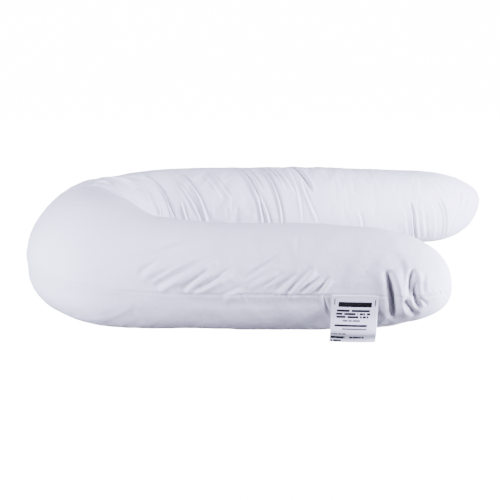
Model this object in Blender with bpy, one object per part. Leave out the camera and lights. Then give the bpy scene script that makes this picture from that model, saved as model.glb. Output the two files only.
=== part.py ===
"""Body pillow: a U-shaped filled pillow of plain white cloth, lying on its back, with a label sewn in its seam.

Run it with blender --background --python part.py, or from Blender's text editor. Sizes are in metres and
degrees, +Z up. The bend of the U points to -X and its open end to +X. The front arm lies at -Y.

A place on the pillow's cloth has two coordinates: how far along the U's spine it lies, from the front arm's
tip, and its angle round the girth: 0 at the outside of the U, 90 at the crown, 180 at the inside.
"""
from collections import namedtuple

import bpy
import numpy as np

Arm = namedtuple("Arm", "side length toe_out bow width_run height_run roundness")
Section = namedtuple("Section", "station half_width height")
Turn = namedtuple("Turn", "along degrees")
Span = namedtuple("Span", "start end rings")
Fold = namedtuple("Fold", "along angle end_along end_angle depth width")
Drop = namedtuple("Drop", "share out")

# The spine of the U: half an ellipse for the bend, and an arm from each of its ends.
# width_run and height_run are the lengths over which an arm's tip closes in plan and in height.
BEND_CENTRE = (-0.2622, -0.0172)
BEND_RADII = (0.204, 0.236)
FRONT = Arm(side=-1, length=0.605, toe_out=2.6, bow=0.014, width_run=0.122, height_run=0.344, roundness=2.38)
BACK = Arm(side=+1, length=0.844, toe_out=5.2, bow=0.0235, width_run=0.165, height_run=0.157, roundness=1.85)
SPINE_STEP = 0.002
EASING = 0.035            # the bend runs into the arms over about this length

# The filled girth. Station -2 is the front tip, -1 to +1 the bend, +2 the back tip.
SECTIONS = (
    Section(station=-2.00, half_width=0.0930, height=0.1970),
    Section(station=-1.25, half_width=0.1020, height=0.1970),
    Section(station=-0.55, half_width=0.1300, height=0.2380),
    Section(station=+0.00, half_width=0.1150, height=0.2325),
    Section(station=+0.55, half_width=0.1190, height=0.2195),
    Section(station=+1.25, half_width=0.1240, height=0.2125),
    Section(station=+2.00, half_width=0.0875, height=0.1840),
)
SEAM_LEVEL = 0.458        # share of the height at which the seam runs
TIP_SEAM_LEVEL = 0.477    # the same at the tips
PRESSED_SHARE = 0.063     # share of the height that the pillow's weight presses flat
CROWN_POWER = 1.95        # 2 is a round section, more is fuller
BASE_POWER = 2.78
CROWN_LEAN = 0.030        # the bend's crown leans towards the inside of the U
LEAN_SPREAD = 0.9         # in stations
GIRTH_RADIUS = 0.112      # mean, to measure lengths round the girth

# Two seams run round the U, outside and inside. The back arm has rolled on its side, so they turn round its girth.
SEAM_TURNS = (
    Turn(along=0.00, degrees=0),
    Turn(along=1.15, degrees=0),
    Turn(along=1.45, degrees=25),
    Turn(along=1.70, degrees=66),
    Turn(along=1.85, degrees=80),
    Turn(along=1.95, degrees=88),
    Turn(along=2.05, degrees=106),
    Turn(along=2.14, degrees=112),
)

# Each seam is drawn in between two rounded lips.
SEAM_DEPTH = 0.0035
LIP_ANGLE = 4.0
CROWN_STEPS = 19
BASE_STEPS = 15

# Where the mesh's rings lie along the spine: closer at the tips and at the folds of the arms' ends.
TIP_RINGS = 8
TIP_REACH = 0.030
SPANS = (
    Span(start=0.030, end=0.160, rings=21),
    Span(start=0.160, end=0.240, rings=7),
    Span(start=0.240, end=0.640, rings=19),
    Span(start=0.640, end=1.100, rings=27),
    Span(start=1.100, end=1.880, rings=44),
    Span(start=1.880, end=2.060, rings=18),
)

# The folds that show from a step away, each a trough from one place on the cloth to another.
FOLDS = (
    # gathers across the outer seam at the front arm's end
    Fold(along=0.134, angle=33, end_along=0.118, end_angle=-30, depth=0.015, width=0.0080),
    Fold(along=0.088, angle=37, end_along=0.093, end_angle=-2, depth=0.008, width=0.0065),
    Fold(along=0.081, angle=25, end_along=0.071, end_angle=-18, depth=0.013, width=0.0070),
    Fold(along=0.104, angle=2, end_along=0.074, end_angle=-30, depth=0.008, width=0.0075),
    # slanting creases on the front arm, above its seam
    Fold(along=0.574, angle=6, end_along=0.462, end_angle=41, depth=0.0042, width=0.011),
    Fold(along=0.523, angle=4, end_along=0.478, end_angle=25, depth=0.0035, width=0.010),
    Fold(along=0.600, angle=20, end_along=0.560, end_angle=38, depth=0.0030, width=0.011),
    Fold(along=0.406, angle=8, end_along=0.340, end_angle=41, depth=0.0035, width=0.012),
    Fold(along=0.334, angle=3, end_along=0.278, end_angle=28, depth=0.0035, width=0.011),
    Fold(along=0.298, angle=3, end_along=0.258, end_angle=19, depth=0.0030, width=0.010),
    # long creases that fall from the back arm's crown towards its inside
    Fold(along=1.090, angle=76, end_along=1.270, end_angle=178, depth=0.0085, width=0.011),
    Fold(along=1.036, angle=79, end_along=1.106, end_angle=134, depth=0.0050, width=0.012),
    Fold(along=1.240, angle=98, end_along=1.347, end_angle=182, depth=0.0042, width=0.010),
    Fold(along=1.264, angle=92, end_along=1.364, end_angle=184, depth=0.0050, width=0.010),
    Fold(along=1.371, angle=102, end_along=1.424, end_angle=150, depth=0.0040, width=0.011),
    Fold(along=1.442, angle=88, end_along=1.509, end_angle=184, depth=0.0055, width=0.011),
    Fold(along=1.510, angle=88, end_along=1.560, end_angle=186, depth=0.0058, width=0.011),
    Fold(along=1.592, angle=84, end_along=1.637, end_angle=142, depth=0.0055, width=0.011),
    # pleats at the back arm's end
    Fold(along=1.901, angle=148, end_along=1.927, end_angle=222, depth=0.0060, width=0.009),
    Fold(along=1.935, angle=156, end_along=1.963, end_angle=222, depth=0.0045, width=0.009),
    Fold(along=1.981, angle=142, end_along=2.013, end_angle=226, depth=0.0070, width=0.010),
)
SHOULDER = 0.20           # the cloth pushed out of a fold stands beside it, this share of its depth
SHOULDER_PLACE = 1.6      # from the fold's middle, in fold widths
SHOULDER_SPREAD = 0.55

# The label hangs from the front arm's seam and its loose end just clears the surface.
LABEL_ALONG = 0.190
LABEL_WIDTH = 0.090
LABEL_LENGTH = 0.0910
LABEL_THICKNESS = 0.0012
LABEL_CLEARANCE = 0.0004
LABEL_COLUMNS = 10
LABEL_ROWS = 36
LABEL_TAPER = 0.0010      # the loose end is narrower by this much at each side
LABEL_DROPS = (
    Drop(share=0.00, out=0.0000),
    Drop(share=0.30, out=0.0016),
    Drop(share=0.62, out=0.0042),
    Drop(share=0.76, out=0.0095),
    Drop(share=0.86, out=0.0118),
    Drop(share=0.93, out=0.0125),
    Drop(share=1.00, out=0.0165),
)

CLOTH_COLOUR = (0.80, 0.80, 0.87)
LABEL_COLOUR = (0.88, 0.88, 0.93)


def blend(position, rows, column):
    """A column of a table at the given positions, passing smoothly through the rows without overshoot."""
    knots = np.array([row[0] for row in rows])
    values = np.array([getattr(row, column) for row in rows])
    gaps = np.diff(knots)
    rises = np.diff(values) / gaps
    slopes = np.zeros(len(knots))
    for i in range(1, len(knots) - 1):
        before, after = rises[i - 1], rises[i]
        if before * after > 0:
            early, late = 2 * gaps[i] + gaps[i - 1], gaps[i] + 2 * gaps[i - 1]
            slopes[i] = (early + late) / (early / before + late / after)
    slopes[-1] = rises[-1]
    i = np.clip(np.searchsorted(knots, position) - 1, 0, len(knots) - 2)
    gap = gaps[i]
    x = (position - knots[i]) / gap
    start = values[i] * (1 + 2 * x) * (1 - x) ** 2 + slopes[i] * gap * x * (1 - x) ** 2
    end = values[i + 1] * x * x * (3 - 2 * x) + slopes[i + 1] * gap * x * x * (x - 1)
    return start + end


class Spine:
    """The U's centre line in plan, from the front arm's tip round the bend to the back arm's tip."""

    def __init__(self):
        front, front_station = self.arm_line(FRONT)
        back, back_station = self.arm_line(BACK)
        bend, bend_station = self.bend_line()
        self.points = self.eased(np.concatenate([front[::-1], bend, back])) + BEND_CENTRE
        self.station = np.concatenate([front_station[::-1], bend_station, back_station])
        steps = np.linalg.norm(np.diff(self.points, axis=0), axis=1)
        self.along = np.concatenate([[0.0], np.cumsum(steps)])
        self.length = self.along[-1]

    def leave_angle(self, arm):
        """The angle past the ellipse's shoulder at which its tangent has the arm's toe-out."""
        return np.arctan(BEND_RADII[0] / BEND_RADII[1] * np.tan(np.radians(arm.toe_out)))

    def shoulder(self, arm):
        angle = self.leave_angle(arm)
        return np.array([-BEND_RADII[0] * np.sin(angle), arm.side * BEND_RADII[1] * np.cos(angle)])

    def arm_line(self, arm):
        start = self.shoulder(arm)
        reach = arm.length * np.cos(np.radians(arm.toe_out)) - start[0]
        share = np.linspace(0, 1, round(reach / SPINE_STEP))
        sideways = np.tan(np.radians(arm.toe_out)) * reach * share + arm.bow * share ** 2
        points = np.stack([start[0] + reach * share, start[1] + arm.side * sideways], axis=1)
        return points, arm.side * (1 + share)

    def bend_line(self):
        first = -np.pi / 2 - self.leave_angle(FRONT)
        last = -3 * np.pi / 2 + self.leave_angle(BACK)
        count = round(np.pi * np.mean(BEND_RADII) / SPINE_STEP)
        angle = np.linspace(first, last, count)[1:-1]
        points = np.stack([BEND_RADII[0] * np.cos(angle), BEND_RADII[1] * np.sin(angle)], axis=1)
        return points, np.linspace(-1, 1, count)[1:-1]

    def eased(self, points):
        """The line with its changes of curvature spread out, and its ends kept."""
        reach = round(3 * EASING / SPINE_STEP)
        weights = np.exp(-0.5 * (np.arange(-reach, reach + 1) * SPINE_STEP / EASING) ** 2)
        padded = np.pad(points, ((reach, reach), (0, 0)), mode="reflect", reflect_type="odd")
        columns = [np.convolve(column, weights / weights.sum(), mode="valid") for column in padded.T]
        return np.stack(columns, axis=1)

    def at(self, along):
        x = np.interp(along, self.along, self.points[:, 0])
        y = np.interp(along, self.along, self.points[:, 1])
        return np.stack([x, y], axis=-1)

    def outward(self, along):
        """Unit vectors square to the spine in plan, towards the outside of the U."""
        ahead = self.at(np.minimum(along + SPINE_STEP, self.length))
        behind = self.at(np.maximum(along - SPINE_STEP, 0))
        tangent = (ahead - behind) / np.linalg.norm(ahead - behind, axis=-1, keepdims=True)
        return np.stack([-tangent[..., 1], tangent[..., 0]], axis=-1)


def closing(distance, run, roundness):
    """How far a rounded end has opened, 0 at its tip and 1 from the run's length on."""
    left = 1 - np.clip(distance / run, 0, 1)
    return (1 - left ** roundness) ** (1 / roundness)


def girth_offsets(angle):
    """Unit section: sideways and upward shares at each angle, rounder above the seam and fuller below it."""
    across, rise = np.cos(angle), np.sin(angle)
    power = np.where(rise >= 0, CROWN_POWER, BASE_POWER)
    return np.sign(across) * np.abs(across) ** (2 / power), np.sign(rise) * np.abs(rise) ** (2 / power)


def filled_shape(spine, along, angle):
    """Points of the filled shape without its seams and folds, for two arrays of one shape."""
    station = np.interp(along, spine.along, spine.station)
    half_width = blend(station, SECTIONS, "half_width")
    height = blend(station, SECTIONS, "height")
    to_end = spine.length - along
    plan = closing(along, FRONT.width_run, FRONT.roundness) * closing(to_end, BACK.width_run, BACK.roundness)
    rise = closing(along, FRONT.height_run, FRONT.roundness) * closing(to_end, BACK.height_run, BACK.roundness)
    seam = height * (SEAM_LEVEL * rise + TIP_SEAM_LEVEL * (1 - rise))
    above = height * (1 - SEAM_LEVEL) * rise
    below = height * (SEAM_LEVEL + PRESSED_SHARE) * rise
    across, upward = girth_offsets(angle)
    lean = CROWN_LEAN * np.exp(-(station / LEAN_SPREAD) ** 2) * plan
    out = half_width * plan * across - lean * np.maximum(upward, 0)
    xy = spine.at(along) + spine.outward(along) * out[..., None]
    z = seam + np.where(upward >= 0, above, below) * upward
    return np.concatenate([xy, z[..., None]], axis=-1)


def inward_normals(points):
    around = np.roll(points, -1, axis=1) - np.roll(points, 1, axis=1)
    ahead = np.gradient(points, axis=0)
    normal = np.cross(ahead, around)
    return normal / np.maximum(np.linalg.norm(normal, axis=2, keepdims=True), 1e-9)


def fold_depths(along, angle):
    """How deep the folds draw the cloth in at each place, less the shoulders beside them."""
    turned = (np.degrees(angle) + 90) % 360 - 90
    girth = np.radians(turned) * GIRTH_RADIUS
    depth = np.zeros_like(along)
    for fold in FOLDS:
        start = np.array([fold.along, np.radians(fold.angle) * GIRTH_RADIUS])
        end = np.array([fold.end_along, np.radians(fold.end_angle) * GIRTH_RADIUS])
        run = end - start
        length = np.linalg.norm(run)
        share = ((along - start[0]) * run[0] + (girth - start[1]) * run[1]) / length ** 2
        aside = ((along - start[0]) * run[1] - (girth - start[1]) * run[0]) / length / fold.width
        inside = np.clip(share, 0, 1)
        taper = np.sin(np.pi * inside) ** 0.8
        beside = (np.abs(aside) - SHOULDER_PLACE) / SHOULDER_SPREAD
        trough = np.exp(-aside ** 2) - SHOULDER * np.exp(-beside ** 2)
        depth += fold.depth * taper * trough
    return depth


def seam_depths(along, row, length):
    """The seams themselves, on the rows at both sides of the girth, fading at the two tips."""
    on_seam = np.abs(np.sin(row)) < np.sin(np.radians(LIP_ANGLE / 2))
    fade = np.clip(np.minimum(along, length - along) / TIP_REACH, 0, 1)
    return SEAM_DEPTH * fade * on_seam


def ring_places(length):
    share = (np.arange(1, TIP_RINGS + 1) / (TIP_RINGS + 1)) ** 2
    places = [TIP_REACH * share]
    for span in SPANS:
        places.append(np.linspace(span.start, span.end, span.rings, endpoint=False))
    places.append(np.linspace(SPANS[-1].end, length - TIP_REACH, 5, endpoint=False))
    places.append(length - TIP_REACH * np.concatenate([[1.0], share[::-1]]))
    return np.concatenate(places)


def row_angles():
    """Where the rows lie round the girth, from the outer seam."""
    crown = np.linspace(LIP_ANGLE, 180 - LIP_ANGLE, CROWN_STEPS + 1)
    base = np.linspace(180 + LIP_ANGLE, 360 - LIP_ANGLE, BASE_STEPS + 1)
    return np.radians(np.concatenate([[0.0], crown, [180.0], base]))


def add_object(name, vertices, faces, colour, roughness):
    mesh = bpy.data.meshes.new(name)
    mesh.from_pydata([tuple(map(float, vertex)) for vertex in vertices], [], faces)
    mesh.update()
    material = bpy.data.materials.new(name)
    material.use_nodes = True
    shader = material.node_tree.nodes["Principled BSDF"]
    shader.inputs["Base Color"].default_value = (*colour, 1.0)
    shader.inputs["Roughness"].default_value = roughness
    shader.inputs["Metallic"].default_value = 0.0
    mesh.materials.append(material)
    placed = bpy.data.objects.new(name, mesh)
    bpy.context.collection.objects.link(placed)
    return placed


def build_pillow(spine):
    """One filled solid: rings of cloth along the spine, closed by a point at each tip."""
    along, row = np.meshgrid(ring_places(spine.length), row_angles(), indexing="ij")
    angle = row + np.radians(blend(along, SEAM_TURNS, "degrees"))
    points = filled_shape(spine, along, angle)
    depth = fold_depths(along, angle) + seam_depths(along, row, spine.length)
    points += inward_normals(points) * depth[:, :, None]
    points[:, :, 2] = np.maximum(points[:, :, 2], 0.0)
    rings, around = along.shape
    tips = filled_shape(spine, np.array([0.0, spine.length]), np.zeros(2))
    vertices = np.concatenate([points.reshape(-1, 3), tips])
    faces = []
    for i in range(rings - 1):
        for j in range(around):
            k = (j + 1) % around
            faces.append((i * around + j, i * around + k, (i + 1) * around + k, (i + 1) * around + j))
    last = (rings - 1) * around
    for j in range(around):
        k = (j + 1) % around
        faces.append((len(vertices) - 2, k, j))
        faces.append((len(vertices) - 1, last + j, last + k))
    return add_object("pillow", vertices, faces, CLOTH_COLOUR, roughness=0.85)


def label_sheet(spine):
    """The label's middle surface: rows down its drop by columns across its width, and the outward direction."""
    columns = np.linspace(-0.5, 0.5, LABEL_COLUMNS + 1)
    along = LABEL_ALONG + columns * LABEL_WIDTH
    seam = filled_shape(spine, along, np.zeros_like(along))
    outward = spine.outward(np.array([LABEL_ALONG]))[0]
    sideways = np.array([-outward[1], outward[0]])
    stand_off = LABEL_CLEARANCE + LABEL_THICKNESS / 2
    share = np.linspace(0, 1, LABEL_ROWS + 1)
    out = blend(share, LABEL_DROPS, "out")
    step = LABEL_LENGTH / LABEL_ROWS
    fallen = np.concatenate([[0.0], np.cumsum(np.sqrt(step ** 2 - np.diff(out) ** 2))])
    sheet = np.zeros((len(share), len(columns), 3))
    sheet[:, :, :2] = seam[:, :2] + np.multiply.outer(out + stand_off, outward)[:, None, :]
    narrowing = 2 * LABEL_TAPER * np.outer(share, columns)
    sheet[:, :, :2] -= narrowing[:, :, None] * sideways
    sheet[:, :, 2] = seam[:, 2] - fallen[:, None]
    return sheet


def build_label(spine):
    sheet = label_sheet(spine)
    rows, columns = sheet.shape[:2]
    normal = np.cross(np.gradient(sheet, axis=0), np.gradient(sheet, axis=1))
    normal /= np.linalg.norm(normal, axis=2, keepdims=True)
    sides = [sheet + normal * LABEL_THICKNESS / 2, sheet - normal * LABEL_THICKNESS / 2]
    vertices = np.concatenate([side.reshape(-1, 3) for side in sides])
    back = rows * columns
    faces = []
    for i in range(rows - 1):
        for j in range(columns - 1):
            corner = i * columns + j
            quad = (corner, corner + columns, corner + columns + 1, corner + 1)
            faces.append(quad)
            faces.append(tuple(back + vertex for vertex in reversed(quad)))
    last_row = (rows - 1) * columns
    rim = list(range(columns - 1)) + [i * columns + columns - 1 for i in range(rows - 1)]
    rim += [last_row + j for j in range(columns - 1, 0, -1)] + [i * columns for i in range(rows - 1, 0, -1)]
    for here, there in zip(rim, rim[1:] + rim[:1]):
        faces.append((here, there, back + there, back + here))
    return add_object("label", vertices, faces, LABEL_COLOUR, roughness=0.35)


def main():
    for old in list(bpy.data.objects):
        bpy.data.objects.remove(old, do_unlink=True)
    spine = Spine()
    build_pillow(spine)
    build_label(spine)


main()
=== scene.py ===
"""Looks of the body pillow: its cotton cover with seams, folds and puckers, its stitches and its label.

Sizes are in metres and degrees, +Z up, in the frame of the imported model. The bend of the U points to -X and
the front arm lies at -Y. A place on the cloth has two coordinates: how far along the U's spine it lies, from
the front arm's tip, and its angle round the girth: 0 at the outer seam, 90 at the crown and 180 at the inner
seam.
"""
from collections import namedtuple

import bpy
import numpy as np
from mathutils import Matrix, Vector, kdtree, noise


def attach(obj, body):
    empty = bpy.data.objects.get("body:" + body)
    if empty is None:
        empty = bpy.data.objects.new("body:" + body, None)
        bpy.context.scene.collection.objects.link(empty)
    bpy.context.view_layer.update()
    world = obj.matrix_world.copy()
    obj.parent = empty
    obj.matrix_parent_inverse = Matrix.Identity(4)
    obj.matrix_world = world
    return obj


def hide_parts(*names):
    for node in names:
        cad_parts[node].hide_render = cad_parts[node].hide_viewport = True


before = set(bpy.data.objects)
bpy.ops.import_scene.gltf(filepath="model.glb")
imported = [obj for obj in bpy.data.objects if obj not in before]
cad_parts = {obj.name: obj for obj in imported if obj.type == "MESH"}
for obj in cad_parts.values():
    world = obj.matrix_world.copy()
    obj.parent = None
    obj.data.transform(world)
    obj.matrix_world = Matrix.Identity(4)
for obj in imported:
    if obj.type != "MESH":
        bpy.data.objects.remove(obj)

Arm = namedtuple("Arm", "side length toe_out bow width_run height_run roundness rise_roundness tip_level")
Section = namedtuple("Section", "station half_width height base_power")
Span = namedtuple("Span", "start end step")
Drop = namedtuple("Drop", "share out")
Turn = namedtuple("Turn", "along degrees")
Share = namedtuple("Share", "along share")
Draw = namedtuple("Draw", "along outer inner")
Pinch = namedtuple("Pinch", "start middle end depth width gather upper_ridge lower_ridge")
Crease = namedtuple("Crease", "start middle end depth width ridge side", defaults=[-1])
Puckers = namedtuple("Puckers", "seam start end gap reach depth width")
Bar = namedtuple("Bar", "left right top height dash ink", defaults=[0.0, 1.0])
Lamp = namedtuple("Lamp", "name place aim width height power")

# ---- The filled shape: the CAD solid's, with sections that follow the cloth a little closer ----
BEND_CENTRE = (-0.2622, -0.0172)
BEND_RADII = (0.204, 0.236)
FRONT = Arm(side=-1, length=0.605, toe_out=2.6, bow=0.014, width_run=0.100, height_run=0.304, roundness=1.95,
            rise_roundness=2.56, tip_level=0.395)
BACK = Arm(side=+1, length=0.844, toe_out=5.2, bow=0.0235, width_run=0.176, height_run=0.164, roundness=1.73,
           rise_roundness=2.03, tip_level=0.538)
SPINE_STEP = 0.002
EASING = 0.035
SECTIONS = (
    Section(station=-2.00, half_width=0.0905, height=0.2002, base_power=2.10),
    Section(station=-1.25, half_width=0.1082, height=0.1975, base_power=2.83),
    Section(station=-0.55, half_width=0.1327, height=0.2375, base_power=2.88),
    Section(station=+0.00, half_width=0.1163, height=0.2330, base_power=2.71),
    Section(station=+0.55, half_width=0.1216, height=0.2155, base_power=2.78),
    Section(station=+1.25, half_width=0.1220, height=0.2127, base_power=2.79),
    Section(station=+2.00, half_width=0.0868, height=0.1777, base_power=2.70),
)
SEAM_LEVEL = 0.458
PRESSED_SHARE = 0.063
CROWN_POWER = 1.95
CROWN_LEAN = 0.030
LEAN_SPREAD = 0.9
GIRTH_RADIUS = 0.112

# The back arm has rolled on its side, so its seams turn round the girth towards its end.
SEAM_TURNS = (
    Turn(along=0.00, degrees=0),
    Turn(along=1.15, degrees=0),
    Turn(along=1.45, degrees=25),
    Turn(along=1.70, degrees=66),
    Turn(along=1.85, degrees=80),
    Turn(along=1.95, degrees=88),
    Turn(along=2.05, degrees=106),
    Turn(along=2.14, degrees=112),
)

# ---- The cover's mesh is made fine, close beside the seams, and then thinned where the cloth is smooth ----
TIP_REACH = 0.030
TIP_RINGS = 22
END_MARGIN = 0.0003       # of the weave, past the last ring
SPANS = (                 # along the spine, each with the gap between its rings
    Span(start=0.030, end=0.160, step=0.0014),
    Span(start=0.160, end=0.260, step=0.0020),
    Span(start=0.260, end=0.640, step=0.0019),
    Span(start=0.640, end=0.890, step=0.0034),
    Span(start=0.890, end=1.680, step=0.0013),
    Span(start=1.680, end=1.880, step=0.0026),
    Span(start=1.880, end=2.060, step=0.0014),
)
CROWN_ROW_GAP = 0.0028    # between rows over the crown
BASE_ROW_GAP = 0.0050     # between rows under the pillow
SEAM_ROW_GAP = 0.0009     # between rows at the seams
SEAM_ROW_REACH = 0.0075
ROW_SAMPLES = 2000
COVER_TRIANGLES = 197000

# ---- The seams ----
SEAM_DRAWS = (            # how far the outer and the inner seam are drawn in
    Draw(along=0.000, outer=0.0007, inner=0.0014),
    Draw(along=0.070, outer=0.0009, inner=0.0018),
    Draw(along=0.150, outer=0.0013, inner=0.0018),
    Draw(along=0.350, outer=0.0017, inner=0.0020),
    Draw(along=0.450, outer=0.0013, inner=0.0022),
    Draw(along=0.620, outer=0.0009, inner=0.0028),
    Draw(along=0.850, outer=0.0008, inner=0.0034),
    Draw(along=1.100, outer=0.0009, inner=0.0030),
    Draw(along=1.500, outer=0.0016, inner=0.0020),
    Draw(along=2.140, outer=0.0014, inner=0.0014),
)
SEAM_WIDTH = 0.0016
SEAM_SHARPNESS = 1.3
EDGE_SHARE = 0.90         # the panels meet in a blunt edge, which stands this share of the draw proud
EDGE_WIDTH = 0.0120
LIP_SHARE = 0.34          # the cloth stands this share of the draw proud beside the seam
LIP_PLACE = 0.0052
LIP_WIDTH = 0.0034
SEAM_SAMPLE = 0.0010

# ---- Deep gathers across the outer seam at the front arm's end ----
PINCHES = (               # from their upper ends down, the upper ridge on the side away from the tip
    Pinch((0.1350, 30), (0.1245, 3), (0.1165, -31), depth=0.0205, width=0.0076, gather=0.36,
          upper_ridge=0.0050, lower_ridge=0.0024),
    Pinch((0.0865, 36), (0.0912, 16), (0.0895, -3), depth=0.0120, width=0.0058, gather=0.16,
          upper_ridge=0.0052, lower_ridge=0.0000),
    Pinch((0.0765, 28), (0.0798, 3), (0.0690, -17), depth=0.0130, width=0.0054, gather=0.24,
          upper_ridge=0.0004, lower_ridge=0.0030),
    Pinch((0.1040, -3), (0.0895, -13), (0.0740, -34), depth=0.0052, width=0.0066, gather=0.13,
          upper_ridge=0.0010, lower_ridge=0.0014),
)
PINCH_REACH = 0.04        # further away they change nothing
PINCH_FADE = 0.75         # more fades a fold sooner towards its ends
PINCH_RIDGE_PLACE = 2.1   # from the fold's middle, in fold widths
PINCH_RIDGE_SPREAD = 1.15
GATHER_REACH = 0.03
GATHER_SPREAD = 1.6       # in fold widths
GATHER_FADE = 0.6

# ---- Creases that the photograph shows ----
# Each has a start, a middle and an end, then its depth, its width and its ridge, which stands on the near
# side as seen along the spine, or on the far side where the side is +1.
TIP_CREASES = (           # small ones round the gathers and at the front tip
    Crease((0.114, 4), (0.109, -9), (0.105, -28), 0.0030, 0.0045, 0.0012, side=+1),
    Crease((0.073, 0), (0.064, -6), (0.055, -14), 0.0032, 0.0030, 0.0006, side=+1),
    Crease((0.031, 12), (0.026, 4), (0.015, -14), 0.0026, 0.0020, 0.0016, side=+1),
    Crease((0.036, 10), (0.030, 2), (0.021, -12), 0.0022, 0.0018, 0.0014),
    Crease((0.110, 44), (0.104, 30), (0.106, 12), 0.0014, 0.0050, 0.0012),
    Crease((0.062, 34), (0.066, 18), (0.063, 4), 0.0014, 0.0036, 0.0012),
)
DRAG_LINES = (            # slanting, above the front seam
    Crease((0.572, 7), (0.520, 24), (0.462, 41), 0.0101, 0.0058, 0.0110),
    Crease((0.522, 4), (0.502, 15), (0.478, 25), 0.0067, 0.0049, 0.0076),
    Crease((0.508, 4), (0.469, 13), (0.430, 24), 0.0040, 0.0049, 0.0057),
    Crease((0.482, 9), (0.458, 17), (0.434, 25), 0.0048, 0.0043, 0.0041),
    Crease((0.449, 0), (0.429, 4), (0.408, 10), 0.0034, 0.0043, 0.0034),
    Crease((0.408, 16), (0.378, 26), (0.338, 37), 0.0060, 0.0063, 0.0036),
    Crease((0.400, 10), (0.373, 19), (0.344, 27), 0.0040, 0.0053, 0.0051),
    Crease((0.345, 4), (0.324, 13), (0.303, 23), 0.0054, 0.0049, 0.0057),
    Crease((0.325, 2), (0.301, 15), (0.274, 28), 0.0062, 0.0047, 0.0069),
    Crease((0.298, 3), (0.280, 11), (0.259, 19), 0.0048, 0.0043, 0.0051),
    Crease((0.267, 2), (0.256, 10), (0.242, 19), 0.0048, 0.0038, 0.0051),
    Crease((0.599, 21), (0.584, 28), (0.565, 37), 0.0040, 0.0049, 0.0041),
    Crease((0.604, 17), (0.580, 26), (0.552, 38), 0.0040, 0.0053, 0.0041),
    Crease((0.616, 33), (0.573, 45), (0.522, 59), 0.0040, 0.0074, 0.0041),
    Crease((0.586, 12), (0.548, 25), (0.506, 38), 0.0030, 0.0036, 0.0030),
    Crease((0.560, 26), (0.532, 35), (0.500, 43), 0.0022, 0.0040, 0.0024),
    Crease((0.468, 14), (0.449, 21), (0.428, 28), 0.0026, 0.0030, 0.0026),
    Crease((0.386, 24), (0.362, 33), (0.336, 42), 0.0020, 0.0036, 0.0020),
    Crease((0.372, 8), (0.352, 15), (0.330, 23), 0.0026, 0.0034, 0.0026),
)
SEAM_HOLLOWS = (          # the shallow hollow just below the front seam, and the puckers beside the label
    Crease((0.520, -4), (0.370, -6), (0.235, -5), 0.0017, 0.0060, 0.0003, side=+1),
    Crease((0.254, 1), (0.247, -7), (0.236, -22), 0.0030, 0.0032, 0.0016, side=+1),
    Crease((0.243, 0), (0.240, -5), (0.233, -14), 0.0016, 0.0026, 0.0008, side=+1),
)
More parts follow.
